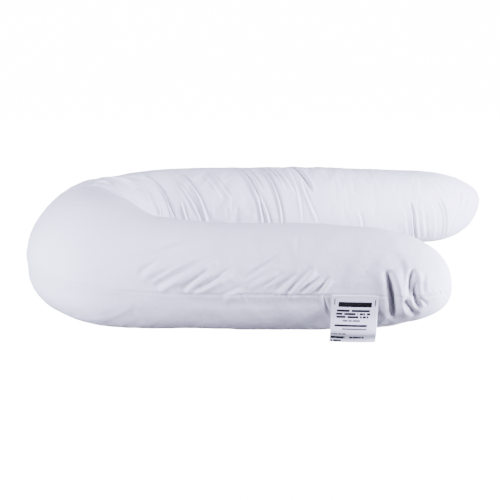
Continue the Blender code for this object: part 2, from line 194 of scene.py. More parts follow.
BEND_CREASES = (          # over the bend and down the inside of the back arm
    Crease((0.905, 84), (0.921, 103), (0.938, 120), 0.0046, 0.0033, 0.0036),
    Crease((0.960, 78), (0.985, 97), (1.008, 118), 0.0046, 0.0033, 0.0036),
    Crease((1.035, 78), (1.068, 108), (1.106, 134), 0.0175, 0.0040, 0.0085),
    Crease((0.985, 114), (1.024, 132), (1.078, 150), 0.0046, 0.0033, 0.0036),
    Crease((0.948, 120), (0.968, 138), (1.004, 160), 0.0046, 0.0033, 0.0036),
    Crease((0.974, 133), (1.017, 146), (1.066, 158), 0.0046, 0.0031, 0.0036),
    Crease((0.917, 94), (0.902, 106), (0.896, 118), 0.0100, 0.0034, 0.0055),
    Crease((0.952, 90), (0.963, 101), (0.957, 112), 0.0095, 0.0030, 0.0055),
    Crease((0.990, 106), (0.984, 121), (0.993, 133), 0.0110, 0.0036, 0.0070),
    Crease((0.994, 126), (1.007, 138), (1.018, 149), 0.0130, 0.0036, 0.0072),
    Crease((1.052, 100), (1.074, 115), (1.084, 130), 0.0110, 0.0030, 0.0060),
    Crease((1.096, 118), (1.106, 133), (1.108, 148), 0.0095, 0.0030, 0.0052),
    Crease((1.118, 118), (1.138, 134), (1.154, 149), 0.0056, 0.0026, 0.0040),
    Crease((1.160, 92), (1.178, 105), (1.188, 118), 0.0105, 0.0030, 0.0058),
    Crease((1.110, 108), (1.145, 129), (1.180, 148), 0.0031, 0.0034, 0.0027),
    Crease((1.088, 74), (1.197, 123), (1.272, 180), 0.0177, 0.0043, 0.0077),
    Crease((1.140, 93), (1.168, 107), (1.192, 122), 0.0037, 0.0029, 0.0028),
    Crease((1.129, 138), (1.149, 153), (1.164, 171), 0.0069, 0.0031, 0.0053),
    Crease((1.228, 152), (1.243, 164), (1.258, 182), 0.0037, 0.0029, 0.0028),
    Crease((1.236, 98), (1.311, 141), (1.349, 184), 0.0056, 0.0031, 0.0041),
    Crease((1.255, 120), (1.296, 142), (1.320, 166), 0.0028, 0.0032, 0.0024),
    Crease((1.258, 90), (1.332, 134), (1.364, 184), 0.0075, 0.0033, 0.0053),
    Crease((1.293, 152), (1.303, 167), (1.312, 184), 0.0056, 0.0029, 0.0041),
    Crease((1.352, 104), (1.380, 128), (1.404, 150), 0.0037, 0.0031, 0.0028),
    Crease((1.370, 102), (1.397, 125), (1.424, 150), 0.0042, 0.0029, 0.0035),
    Crease((1.436, 88), (1.488, 138), (1.507, 186), 0.0086, 0.0035, 0.0065),
    Crease((1.458, 86), (1.489, 115), (1.507, 140), 0.0056, 0.0025, 0.0035),
    Crease((1.497, 143), (1.514, 163), (1.526, 188), 0.0075, 0.0033, 0.0053),
    Crease((1.504, 88), (1.544, 140), (1.557, 188), 0.0104, 0.0033, 0.0065),
    Crease((1.519, 86), (1.536, 105), (1.550, 121), 0.0056, 0.0025, 0.0035),
    Crease((1.534, 88), (1.555, 116), (1.568, 138), 0.0031, 0.0029, 0.0028),
    Crease((1.552, 92), (1.574, 122), (1.596, 148), 0.0028, 0.0032, 0.0024),
    Crease((1.580, 96), (1.599, 137), (1.609, 184), 0.0028, 0.0034, 0.0024),
    Crease((1.592, 84), (1.619, 117), (1.636, 142), 0.0104, 0.0035, 0.0065, side=+1),
    Crease((1.614, 124), (1.624, 150), (1.650, 182), 0.0042, 0.0034, 0.0035),
)
END_PLEATS = (            # at the back arm's end
    Crease((1.901, 158), (1.913, 184), (1.928, 222), 0.0085, 0.0026, 0.0016),
    Crease((1.884, 166), (1.896, 188), (1.908, 218), 0.0012, 0.0034, 0.0008),
    Crease((1.920, 168), (1.929, 190), (1.945, 220), 0.0016, 0.0034, 0.0011),
    Crease((1.934, 160), (1.946, 184), (1.963, 222), 0.0018, 0.0040, 0.0013),
    Crease((1.961, 152), (1.978, 182), (1.991, 226), 0.0012, 0.0040, 0.0010),
    Crease((1.979, 150), (2.004, 178), (2.014, 228), 0.0064, 0.0030, 0.0036),
    Crease((2.041, 172), (2.031, 193), (2.017, 222), 0.0013, 0.0034, 0.0009, side=+1),
    Crease((2.058, 166), (2.049, 188), (2.034, 220), 0.0010, 0.0034, 0.0008, side=+1),
    Crease((1.966, 118), (1.990, 134), (2.010, 156), 0.0024, 0.0046, 0.0022),
    Crease((2.060, 140), (2.052, 158), (2.046, 176), 0.0022, 0.0036, 0.0022, side=+1),
    Crease((2.078, 146), (2.071, 164), (2.062, 184), 0.0020, 0.0034, 0.0020, side=+1),
    Crease((2.030, 128), (2.036, 146), (2.040, 164), 0.0018, 0.0040, 0.0018),
    Crease((1.759, 172), (1.770, 184), (1.786, 204), 0.0034, 0.0030, 0.0017),
)
CREASES = TIP_CREASES + DRAG_LINES + SEAM_HOLLOWS + BEND_CREASES + END_PLEATS
CREASE_REACH = 5          # further away than this many widths, a crease changes nothing
CREASE_FADE = 0.6
CREASE_RIDGE_PLACE = 1.9
CREASE_RIDGE_SPREAD = 1.25
CREASE_SHARPNESS = 1.5
FOLD_STEPS = 12           # of the line of any fold

# ---- Unevenness of the filling and the cloth, each with its size and height ----
LUMPS = ((0.110, 0.0022), (0.045, 0.0012), (0.018, 0.00055), (0.008, 0.00018))

# ---- Small puckers that the sewing leaves along both seams, and the folds of the bend's crowded inside ----
PUCKER_SEED = 11
PUCKER_RUNS = (
    Puckers(seam="outer", start=0.250, end=0.640, gap=0.017, reach=0.016, depth=0.0004, width=0.0028),
    Puckers(seam="outer", start=0.640, end=1.250, gap=0.030, reach=0.012, depth=0.0005, width=0.0030),
    Puckers(seam="outer", start=1.250, end=2.110, gap=0.022, reach=0.018, depth=0.0006, width=0.0034),
    Puckers(seam="inner", start=0.040, end=0.560, gap=0.015, reach=0.022, depth=0.0012, width=0.0032),
    Puckers(seam="inner", start=0.560, end=1.180, gap=0.017, reach=0.046, depth=0.0028, width=0.0044),
    Puckers(seam="inner", start=1.180, end=2.110, gap=0.016, reach=0.024, depth=0.0012, width=0.0032),
)
PUCKER_GAPS = (0.45, 1.6)  # the least and the most, of the run's own
PUCKER_REACHES = (0.5, 1.3)
PUCKER_DEPTHS = (0.4, 1.5)
PUCKER_WIDTHS = (0.7, 1.4)
PUCKER_SHIFT = 0.35       # off the seam, of its reach
PUCKER_SLANT = 0.35
PUCKER_BEND = 0.3
PUCKER_RIDGE = 0.6        # of its depth

# ---- The slack of the cover, which the filling presses out in a cloth simulation ----
SLACK_GAP = 0.0064        # between the points of the simulated cloth
SLACK_ROWS = 110
SLACK_START = 0.0040      # it starts this much inside the filled shape
SLACK_FRAMES = 20
SLACK_CLOTH = {
    "quality": 4,
    "mass": 0.25,
    "tension_stiffness": 18.0,
    "compression_stiffness": 12.0,
    "shear_stiffness": 5.0,
    "bending_stiffness": 0.08,
    "use_pressure": True,
    "uniform_pressure_force": 4.0,
    "shrink_min": -0.030,     # the cloth between the seams is cut this share too large
    "shrink_max": 0.05,       # and the sewing takes in this share at the seams
}
SEAM_TENSION_REACH = 0.020
SLACK_CAP = 0.006         # no wrinkle rises more than this
SLACK_FADE = 0.06         # they fade out over this much at the tips
SLACK_BLUR = 0.030        # what is broader than this is the filled shape's own
SLACK_SHARES = (
    Share(along=0.00, share=0.28),
    Share(along=0.20, share=0.20),
    Share(along=0.60, share=0.22),
    Share(along=0.90, share=0.34),
    Share(along=1.35, share=0.52),
    Share(along=1.65, share=0.30),
    Share(along=2.14, share=0.26),
)
CUT_TURNS = (             # the cover as it was sewn, before the arms were turned
    Turn(along=0.00, degrees=0),
    Turn(along=0.22, degrees=0),
    Turn(along=0.62, degrees=20),
    Turn(along=2.14, degrees=20),
)

# ---- Label ----
LABEL_ALONG = 0.1922
LABEL_WIDTH = 0.090
LABEL_LENGTH = 0.0945
LABEL_THICKNESS = 0.0004
LABEL_STAND_OFF = 0.0014
LABEL_BOW = 24.0          # its edges turn this many degrees towards the pillow
LABEL_HOLLOW = 0.45       # and stand back this share of what that turn gives
LABEL_HOLLOW_EASE = 1.6
LABEL_SKEW = 0.0034       # its loose end hangs this much further from the tip
LABEL_CURL = 0.0010       # the loose corner nearest the tip stands this much higher
LABEL_CURL_OUT = 0.5      # and this share of it further out
LABEL_TUCK = 0.0042       # this much of it is caught in the seam
LABEL_COLUMNS = 60
LABEL_ROWS = 84
LABEL_DROPS = (
    Drop(share=0.00, out=0.0000),
    Drop(share=0.28, out=0.0020),
    Drop(share=0.46, out=0.0052),
    Drop(share=0.60, out=0.0114),
    Drop(share=0.73, out=0.0174),
    Drop(share=0.78, out=0.0182),
    Drop(share=0.94, out=0.0134),
    Drop(share=1.00, out=0.0148),
)
PRINTED_BARS = (          # from the label's top left corner
    Bar(left=0.0135, right=0.0775, top=0.0128, height=0.0100),
    Bar(left=0.0110, right=0.0745, top=0.0280, height=0.0042, dash=0.0046),
    Bar(left=0.0100, right=0.0755, top=0.0342, height=0.0042, dash=0.0038),
    Bar(left=0.0110, right=0.0725, top=0.0402, height=0.0040, dash=0.0046),
    Bar(left=0.0235, right=0.0565, top=0.0478, height=0.0034, dash=0.0036, ink=0.85),
    Bar(left=0.0080, right=0.0705, top=0.0566, height=0.0042),
    Bar(left=0.0230, right=0.0700, top=0.0638, height=0.0028, ink=0.85),
    Bar(left=0.0020, right=0.0330, top=0.0730, height=0.0034, dash=0.0044, ink=0.75),
    Bar(left=0.0020, right=0.0310, top=0.0812, height=0.0062, dash=0.0090),
    Bar(left=0.0380, right=0.0660, top=0.0818, height=0.0050, dash=0.0048),
    Bar(left=0.0020, right=0.0230, top=0.0900, height=0.0040, dash=0.0046, ink=0.95),
    Bar(left=0.0050, right=0.0070, top=0.0060, height=0.0125),
    Bar(left=0.0828, right=0.0848, top=0.0080, height=0.0125),
)
DASH_GAP = 0.31           # more leaves wider gaps between a bar's dashes
DASH_EDGE = 0.06
DASH_ROW = 0.0032         # bars this far apart have different dashes

# ---- Stitches ----
STITCH_PITCH = 0.0032
STITCH_LENGTH = 0.0021
THREAD_RADIUS = 0.00021
STITCH_SIDES = 6
STITCH_TILT = 9.0
STITCH_SEED = 4
STITCH_RISE = 0.0002      # the thread's middle is this much above the bottom of the seam's groove
STITCH_ENDS = 0.004       # no stitch is so near a tip

# ---- Cloth, ribbon and ink ----
COTTON_WHITE = (0.82, 0.815, 0.82)
COTTON_SHADOW = (0.77, 0.765, 0.77)
COTTON_PITCH = 0.0007
WEAVE_HEIGHT = 0.000009
SLUB_LENGTH = 0.012
SLUB_SHADE = 0.35         # the slubs' share in the cotton's shade, beside that of the blotches
BLOTCH_SHADE = 0.65
BLOTCH_SIZE = 0.070
CRUMPLE_SIZES = (0.012, 0.0084)
CRUMPLE_HEIGHT = 0.00050
THREAD_SHADOW = (0.67, 0.665, 0.67)
SATIN_WHITE = (0.94, 0.935, 0.93)
SATIN_SHADOW = (0.89, 0.885, 0.88)
SATIN_PITCH = 0.0005
SATIN_FLOAT = 0.0030      # how far its threads lie on top
RIB_HEIGHT = 0.000008
INK = (0.006, 0.006, 0.005)
INK_BLEED = 0.00025
INK_WEAR = (0.92, 1.10)
INK_WEAR_SIZE = 0.0030

# ---- Camera and room ----
CAMERA_PLACE = (-0.0112, -1.4873, 0.5570)
CAMERA_DOWN = 18.63       # below the horizon
CAMERA_TURN = -2.20       # clockwise from +Y, seen from above
CAMERA_ROLL = -0.75
CAMERA_LENS = 45.92       # on a 36 mm sensor
SENSOR = 36.0

LAMP_WHITE = (0.71, 0.70, 1.0)
LAMPS = (
    Lamp("right_low_box", place=(1.30, -0.50, 0.16), aim=(0.2, -0.1, 0.1), width=0.4, height=0.3, power=80),
    Lamp("right_high_box", place=(1.96, -0.53, 1.18), aim=(0.0, 0.0, 0.1), width=1.1, height=1.1, power=163),
    Lamp("left_low_box", place=(-0.95, -0.85, 0.30), aim=(-0.3, -0.1, 0.1), width=0.4, height=0.4, power=25),
    Lamp("left_high_box", place=(-1.76, -1.02, 1.18), aim=(0.0, 0.0, 0.1), width=1.1, height=1.1, power=86),
    Lamp("back_box", place=(0.0, 2.70, 1.10), aim=(0.0, 0.0, 0.1), width=2.4, height=1.0, power=52),
)
SKY_STRENGTH = 0.13
FLOOR_REACH = 12.0
FLOOR_DROP = 0.0003
DOME_RINGS = 12
DOME_SIDES = 48
PAPER_WHITE = (0.80, 0.80, 0.80)
PAPER_GLOW = (0.98, 0.98, 1.0)
STUDIO_GLOW = 16.0        # the paper's own brightness, so that it stays pale far from the lamps


# -------- the filled shape

def blend(position, rows, column):
    """A column of a table at the given positions, passing smoothly through the rows without overshoot."""
    knots = np.array([row[0] for row in rows])
    values = np.array([getattr(row, column) for row in rows])
    gaps = np.diff(knots)
    rises = np.diff(values) / gaps
    slopes = np.zeros(len(knots))
    for i in range(1, len(knots) - 1):
        before, after = rises[i - 1], rises[i]
        if before * after > 0:
            early, late = 2 * gaps[i] + gaps[i - 1], gaps[i] + 2 * gaps[i - 1]
            slopes[i] = (early + late) / (early / before + late / after)
    slopes[-1] = rises[-1]
    i = np.clip(np.searchsorted(knots, position) - 1, 0, len(knots) - 2)
    gap = gaps[i]
    x = (position - knots[i]) / gap
    start = values[i] * (1 + 2 * x) * (1 - x) ** 2 + slopes[i] * gap * x * (1 - x) ** 2
    end = values[i + 1] * x * x * (3 - 2 * x) + slopes[i + 1] * gap * x * x * (x - 1)
    return start + end


def leave_angle(arm):
    """Where an arm leaves the ellipse of the bend."""
    return np.arctan(BEND_RADII[0] / BEND_RADII[1] * np.tan(np.radians(arm.toe_out)))


def arm_line(arm):
    """Points of an arm's centre line from the bend outwards, and their stations."""
    angle = leave_angle(arm)
    start = np.array([-BEND_RADII[0] * np.sin(angle), arm.side * BEND_RADII[1] * np.cos(angle)])
    reach = arm.length * np.cos(np.radians(arm.toe_out)) - start[0]
    share = np.linspace(0, 1, round(reach / SPINE_STEP))
    sideways = np.tan(np.radians(arm.toe_out)) * reach * share + arm.bow * share ** 2
    points = np.stack([start[0] + reach * share, start[1] + arm.side * sideways], axis=1)
    return points, arm.side * (1 + share)


def bend_line():
    """Points of the bend's centre line from the front arm to the back arm, and their stations."""
    first = -np.pi / 2 - leave_angle(FRONT)
    last = -3 * np.pi / 2 + leave_angle(BACK)
    count = round(np.pi * np.mean(BEND_RADII) / SPINE_STEP)
    angle = np.linspace(first, last, count)[1:-1]
    points = np.stack([BEND_RADII[0] * np.cos(angle), BEND_RADII[1] * np.sin(angle)], axis=1)
    return points, np.linspace(-1, 1, count)[1:-1]


def eased(points):
    """The line of points with its changes of curve smoothed."""
    reach = round(3 * EASING / SPINE_STEP)
    weights = np.exp(-0.5 * (np.arange(-reach, reach + 1) * SPINE_STEP / EASING) ** 2)
    padded = np.pad(points, ((reach, reach), (0, 0)), mode="reflect", reflect_type="odd")
    columns = [np.convolve(column, weights / weights.sum(), mode="valid") for column in padded.T]
    return np.stack(columns, axis=1)


class Spine:
    """The U's centre line in plan, from the front arm's tip round the bend to the back arm's tip."""

    def __init__(self):
        front, front_station = arm_line(FRONT)
        back, back_station = arm_line(BACK)
        bend, bend_station = bend_line()
        self.points = eased(np.concatenate([front[::-1], bend, back])) + BEND_CENTRE
        self.station = np.concatenate([front_station[::-1], bend_station, back_station])
        steps = np.linalg.norm(np.diff(self.points, axis=0), axis=1)
        self.along = np.concatenate([[0.0], np.cumsum(steps)])
        self.length = self.along[-1]

    def at(self, along):
        x = np.interp(along, self.along, self.points[:, 0])
        y = np.interp(along, self.along, self.points[:, 1])
        return np.stack([x, y], axis=-1)

    def outward(self, along):
        """Unit vectors square to the spine in plan, towards the outside of the U."""
        ahead = self.at(np.minimum(along + SPINE_STEP, self.length))
        behind = self.at(np.maximum(along - SPINE_STEP, 0))
        tangent = (ahead - behind) / np.linalg.norm(ahead - behind, axis=-1, keepdims=True)
        return np.stack([-tangent[..., 1], tangent[..., 0]], axis=-1)


def bell(step, middle, spread):
    """1 at the middle and almost nothing two spreads from it."""
    return np.exp(-((step - middle) / spread) ** 2)


def closing(distance, run, roundness):
    """How far a rounded end has opened, 0 at its tip and 1 from the run's length on."""
    left = 1 - np.clip(distance / run, 0, 1)
    return (1 - left ** roundness) ** (1 / roundness)


def girth_offsets(angle, base_power):
    """Unit section: sideways and upward shares at each angle, rounder above the seam and fuller below it."""
    across, rise = np.cos(angle), np.sin(angle)
    power = np.where(rise >= 0, CROWN_POWER, base_power)
    return np.sign(across) * np.abs(across) ** (2 / power), np.sign(rise) * np.abs(rise) ** (2 / power)


def filled_shape(spine, along, angle):
    """Points of the filled shape without its seams and folds, for two arrays of one shape."""
    station = np.interp(along, spine.along, spine.station)
    half_width = blend(station, SECTIONS, "half_width")
    height = blend(station, SECTIONS, "height")
    to_end = spine.length - along
    plan = closing(along, FRONT.width_run, FRONT.roundness) * closing(to_end, BACK.width_run, BACK.roundness)
    rise = closing(along, FRONT.height_run, FRONT.rise_roundness)
    rise = rise * closing(to_end, BACK.height_run, BACK.rise_roundness)
    tip_level = np.where(station < 0, FRONT.tip_level, BACK.tip_level)
    seam = height * (SEAM_LEVEL * rise + tip_level * (1 - rise))
    above = height * (1 - SEAM_LEVEL) * rise
    below = height * (SEAM_LEVEL + PRESSED_SHARE) * rise
    across, upward = girth_offsets(angle, blend(station, SECTIONS, "base_power"))
    lean = CROWN_LEAN * bell(station, 0, LEAN_SPREAD) * plan
    out = half_width * plan * across - lean * np.maximum(upward, 0)
    xy = spine.at(along) + spine.outward(along) * out[..., None]
    z = seam + np.where(upward >= 0, above, below) * upward
    return np.concatenate([xy, z[..., None]], axis=-1)


def tip_points(spine):
    """Where the filled shape closes, at the front and at the back."""
    return filled_shape(spine, np.array([0.0, spine.length]), np.zeros(2))


def seam_turn(along, turns=SEAM_TURNS):
    """How far the seams have turned round the girth, in radians."""
    return np.radians(blend(along, turns, "degrees"))


def inward_normals(points):
    around = np.roll(points, -1, axis=1) - np.roll(points, 1, axis=1)
    normal = np.cross(np.gradient(points, axis=0), around)
    return normal / np.maximum(np.linalg.norm(normal, axis=2, keepdims=True), 1e-9)


# -------- meshes

def mesh_object(name, vertices, faces, edges=()):
    mesh = bpy.data.meshes.new(name)
    mesh.from_pydata(vertices.tolist(), edges, faces)
    mesh.update()
    mesh.shade_smooth()
    made = bpy.data.objects.new(name, mesh)
    bpy.context.scene.collection.objects.link(made)
    return made


def grid_faces(rows, columns, closed):
    """Quads between the points of a grid. In a closed grid the last column is followed by the first."""
    start = np.arange(rows - 1)[:, None] * columns
    across = np.arange(columns if closed else columns - 1)
    first, aside = start + across, start + (across + 1) % columns
    return np.stack([first, aside, aside + columns, first + columns], axis=-1).reshape(-1, 4).tolist()


def tube_faces(rings, around):
    """The faces of a closed tube of rings, with a fan at each end. The tips are the last two vertices."""
    tips = rings * around
    last = (rings - 1) * around
    fans = []
    for j in range(around):
        k = (j + 1) % around
        fans.append((tips, k, j))
        fans.append((tips + 1, last + j, last + k))
    return grid_faces(rings, around, closed=True) + fans


def apply_modifiers(piece):
    """The piece's mesh as its modifiers make it, with none of them left."""
    bpy.context.view_layer.update()
    shaped = piece.evaluated_get(bpy.context.evaluated_depsgraph_get())
    mesh = bpy.data.meshes.new_from_object(shaped)
    mesh.name = piece.name
    piece.modifiers.clear()
    piece.data = mesh


# -------- the cover's folds and seams

def girth_place(degrees):
    return np.radians(degrees) * GIRTH_RADIUS


def fold_line(fold):
    """Points of a fold's line on the cloth: a curve through its start, middle and end."""
    places = (fold.start, fold.middle, fold.end)
    start, middle, end = (np.array([along, girth_place(degrees)]) for along, degrees in places)
    pull = 2 * middle - (start + end) / 2
    share = np.linspace(0, 1, FOLD_STEPS + 1)[:, None]
    return start * (1 - share) ** 2 + 2 * pull * share * (1 - share) + end * share ** 2


def beside_line(place, line):
    """For places on the cloth, the signed distance to a line, the share along it, and the direction aside."""
    best = np.full(place.shape[:-1], np.inf)
    aside = np.zeros(place.shape[:-1])
    share = np.zeros(place.shape[:-1])
    square = np.zeros(place.shape)
    for i in range(len(line) - 1):
        run = line[i + 1] - line[i]
        length = np.linalg.norm(run)
        away = place - line[i]
        inside = np.clip((away @ run) / length ** 2, 0, 1)
        gap = away - inside[..., None] * run
        distance = np.linalg.norm(gap, axis=-1)
        nearer = distance < best
        best = np.where(nearer, distance, best)
        side = np.sign(away @ np.array([run[1], -run[0]]) / length)
        aside = np.where(nearer, distance * side, aside)
        share = np.where(nearer, (i + inside) / (len(line) - 1), share)
        square[nearer] = np.array([run[1], -run[0]]) / length
    return aside, share, square


def near_fold(place, fold, reach):
    """Which places are near a fold, and what beside_line tells of these."""
    line = fold_line(fold)
    low, high = line.min(axis=0) - reach, line.max(axis=0) + reach
    close = np.all((place > low) & (place < high), axis=-1)
    return close, *beside_line(place[close], line)


def faded(share, sharpness):
    """1 at the middle of a fold's line and 0 at its ends."""
    return np.sin(np.pi * np.clip(share, 0, 1)) ** sharpness


def gathered_places(place):
    """The places on the body to which the cloth beside each pinch is drawn."""
    moved = place.copy()
    for pinch in PINCHES:
        close, aside, share, square = near_fold(place, pinch, GATHER_REACH)
        pull = pinch.gather * bell(aside, 0, GATHER_SPREAD * pinch.width) * faded(share, GATHER_FADE)
        moved[close] -= square * (aside * pull)[:, None]
    return moved


def pinch_depths(place):
    depth = np.zeros(place.shape[:-1])
    for pinch in PINCHES:
        close, aside, share, _ = near_fold(place, pinch, PINCH_REACH)
        step = aside / pinch.width
        slit = pinch.depth * bell(step, 0, 1) * faded(share, PINCH_FADE)
        upper = pinch.upper_ridge * bell(step, PINCH_RIDGE_PLACE, PINCH_RIDGE_SPREAD)
        lower = pinch.lower_ridge * bell(step, -PINCH_RIDGE_PLACE, PINCH_RIDGE_SPREAD)
        depth[close] += slit - (upper + lower) * faded(share, 1)
    return depth


def crease_depths(place, creases):
    depth = np.zeros(place.shape[:-1])
    for crease in creases:
        close, aside, share, square = near_fold(place, crease, CREASE_REACH * crease.width)
        step = aside * np.sign(square[:, 0]) / crease.width
        trough = crease.depth * np.exp(-np.abs(step) ** CREASE_SHARPNESS)
        ridge = crease.ridge * bell(step, crease.side * CREASE_RIDGE_PLACE, CREASE_RIDGE_SPREAD)
        depth[close] += (trough - ridge) * faded(share, CREASE_FADE)
    return depth


def sewn_puckers():
    """Creases across both seams, by chance but the same each time."""
    dice = np.random.default_rng(PUCKER_SEED)
    creases = []
    for run in PUCKER_RUNS:
        along = run.start
        while along < run.end:
            along += run.gap * dice.uniform(*PUCKER_GAPS)
            turn = float(blend(np.array(along), SEAM_TURNS, "degrees")) + (180 if run.seam == "inner" else 0)
            reach = np.degrees(run.reach * dice.uniform(*PUCKER_REACHES) / GIRTH_RADIUS)
            away = reach * dice.uniform(-PUCKER_SHIFT, PUCKER_SHIFT)
            slant = run.reach * PUCKER_SLANT * dice.normal()
            start = (along - slant, turn + away - reach)
            end = (along + slant, turn + away + reach)
            middle = (along + PUCKER_BEND * slant * dice.normal(), turn + away)
            depth = run.depth * dice.uniform(*PUCKER_DEPTHS)
            width = run.width * dice.uniform(*PUCKER_WIDTHS)
            side = 1 if dice.random() < 0.5 else -1
            creases.append(Crease(start, middle, end, depth, width, PUCKER_RIDGE * depth, side))
    return creases


def seam_depths(spine, points):
    """How far the seams draw in each of the cover's points, less the edge and the lips that stand proud."""
    along = np.arange(SEAM_SAMPLE, spine.length, SEAM_SAMPLE)
    samples = [filled_shape(spine, along, seam_turn(along) + side) for side in (0, np.pi)]
    draw = np.concatenate([blend(along, SEAM_DRAWS, seam) for seam in ("outer", "inner")])
    tree = kdtree.KDTree(len(draw))
    for i, sample in enumerate(np.concatenate(samples)):
        tree.insert(sample, i)
    tree.balance()
    found = [tree.find(point) for point in points.reshape(-1, 3)]
    gap = np.array([hit[2] for hit in found])
    pull = draw[[hit[1] for hit in found]]
    groove = np.exp(-(gap / SEAM_WIDTH) ** SEAM_SHARPNESS)
    lip = LIP_SHARE * bell(gap, LIP_PLACE, LIP_WIDTH)
    edge = EDGE_SHARE * np.exp(-gap / EDGE_WIDTH)
    return (pull * (groove - edge - lip)).reshape(points.shape[:-1])


def lumps(points):
    """The soft unevenness of the filling under the cloth."""
    heights = np.zeros(points.shape[:-1])
    for size, height in LUMPS:
        values = [noise.noise(Vector(point) / size) for point in points.reshape(-1, 3)]
        heights += height * np.array(values).reshape(heights.shape)
    return heights


# -------- the slack

def blurred(values, reach):
    """The values of a grid of rings and rows smoothed over this many steps each way."""
    steps = np.arange(-round(3 * reach), round(3 * reach) + 1)
    weights = np.exp(-0.5 * (steps / reach) ** 2)
    weights /= weights.sum()
    for axis, mode in ((0, "edge"), (1, "wrap")):
        margin = [(0, 0), (0, 0)]
        margin[axis] = (len(steps) // 2, len(steps) // 2)
        padded = np.pad(values, margin, mode=mode)
        here = np.arange(values.shape[axis])
        values = sum(weight * np.take(padded, here + i, axis=axis) for i, weight in enumerate(weights))
    return values


def cubic_shares(x):
    """The four weights of a smooth curve through evenly spaced points, at a share between the middle two."""
    return ((-x + 2 * x ** 2 - x ** 3) / 2, (2 - 5 * x ** 2 + 3 * x ** 3) / 2,
            (x + 4 * x ** 2 - 3 * x ** 3) / 2, (-x ** 2 + x ** 3) / 2)


def read_grid(values, ring, row):
    """The values of a grid read smoothly at fractional rings and rows."""
    rings, rows = values.shape
    first_ring, first_row = np.floor(ring).astype(int), np.floor(row).astype(int)
    result = np.zeros(ring.shape)
    for i, ring_share in enumerate(cubic_shares(ring - first_ring)):
        at_ring = np.clip(first_ring + i - 1, 0, rings - 1)
        for j, row_share in enumerate(cubic_shares(row - first_row)):
            result += ring_share * row_share * values[at_ring, (first_row + j - 1) % rows]
    return result


def press_out(cloth, cut, held, shrunk):
    """Where the cloth's points are after the filling has pressed against it, from how it was cut."""
    cloth.shape_key_add(name="start")
    as_cut = cloth.shape_key_add(name="cut")
    as_cut.data.foreach_set("co", cut.ravel())
    for name, weights in (("held", held), ("shrunk", shrunk)):
        group = cloth.vertex_groups.new(name=name)
        for i, weight in enumerate(weights):
            group.add([i], float(weight), "REPLACE")
    filling = cloth.modifiers.new("filling", "CLOTH")
    settings = filling.settings
    for name, value in SLACK_CLOTH.items():
        setattr(settings, name, value)
    settings.effector_weights.gravity = 0.0
    settings.rest_shape_key = as_cut
    settings.vertex_group_mass = "held"
    settings.vertex_group_shrink = "shrunk"
    filling.collision_settings.use_collision = False
    filling.point_cache.frame_start = 1
    filling.point_cache.frame_end = SLACK_FRAMES
    scene = bpy.context.scene
    for frame_number in range(1, SLACK_FRAMES + 1):
        scene.frame_set(frame_number)
    apply_modifiers(cloth)
    moved = np.zeros(len(cloth.data.vertices) * 3)
    cloth.data.vertices.foreach_get("co", moved)
    scene.frame_set(1)
    return moved.reshape(-1, 3)


def slack_rises(spine, along, row):
    """How far the slack cloth's wrinkles rise, at places along the spine and from the outer seam."""
    rings = round(spine.length / SLACK_GAP)
    ring_along = (np.arange(rings) + 0.5) * spine.length / rings
    row_angle = np.arange(SLACK_ROWS) / SLACK_ROWS * 2 * np.pi
    at, angle = np.meshgrid(ring_along, row_angle, indexing="ij")
    points = filled_shape(spine, at, angle + seam_turn(at))
    points[..., 2] = np.maximum(points[..., 2], 0.0)
    inward = inward_normals(points)
    start = points + inward * SLACK_START
    tips = tip_points(spine)
    vertices = np.concatenate([start.reshape(-1, 3), tips])
    cloth = mesh_object("slack_cloth", vertices, tube_faces(rings, SLACK_ROWS))
    held = np.append((points[..., 2] < SLACK_START).ravel(), [1.0, 1.0])
    to_seam = np.abs((angle + np.pi / 2) % np.pi - np.pi / 2) * GIRTH_RADIUS
    shrunk = np.append(bell(to_seam, 0, SEAM_TENSION_REACH).ravel(), [1.0, 1.0])
    cut = filled_shape(spine, at, angle + seam_turn(at, CUT_TURNS))
    cut += inward_normals(cut) * SLACK_START
    moved = press_out(cloth, np.concatenate([cut.reshape(-1, 3), tips]), held, shrunk)
    bpy.data.objects.remove(cloth)
    rise = -((moved[:-2].reshape(start.shape) - start) * inward).sum(axis=-1)
    rise -= blurred(rise, SLACK_BLUR / SLACK_GAP)
    rise = SLACK_CAP * np.tanh(rise / SLACK_CAP) * blend(at, SLACK_SHARES, "share")
    to_tip = np.minimum(at, spine.length - at)
    rise *= (1 - held[:-2].reshape(rise.shape)) * np.clip(to_tip / SLACK_FADE, 0, 1)
    return read_grid(rise, along / (spine.length / rings) - 0.5, row / (2 * np.pi) * SLACK_ROWS)


# -------- the cover

def ring_places(length):
    """Where the cover's rings lie along the spine."""
    share = (np.arange(1, TIP_RINGS + 1) / (TIP_RINGS + 1)) ** 2
    places = [TIP_REACH * share]
    for span in SPANS:
        places.append(np.arange(span.start, span.end - span.step / 2, span.step))
    places.append(np.arange(SPANS[-1].end, length - TIP_REACH, SPANS[-1].step))
    places.append(length - TIP_REACH * share[::-1])
    return np.concatenate(places)


def row_angles():
    """Angles of the cover's rows round the girth from the outer seam, with a row on each seam."""
    rows = []
    for first, gap in ((0.0, CROWN_ROW_GAP), (np.pi, BASE_ROW_GAP)):
        place = np.linspace(0, np.pi * GIRTH_RADIUS, ROW_SAMPLES)
        to_seam = np.minimum(place, np.pi * GIRTH_RADIUS - place)
        spacing = gap + (SEAM_ROW_GAP - gap) * bell(to_seam, 0, SEAM_ROW_REACH)
        count = np.concatenate([[0.0], np.cumsum(np.diff(place) / spacing[1:])])
        steps = np.linspace(0, count[-1], round(count[-1]) + 1)[:-1]
        rows.append(first + np.interp(steps, count, place) / GIRTH_RADIUS)
    return np.concatenate(rows)


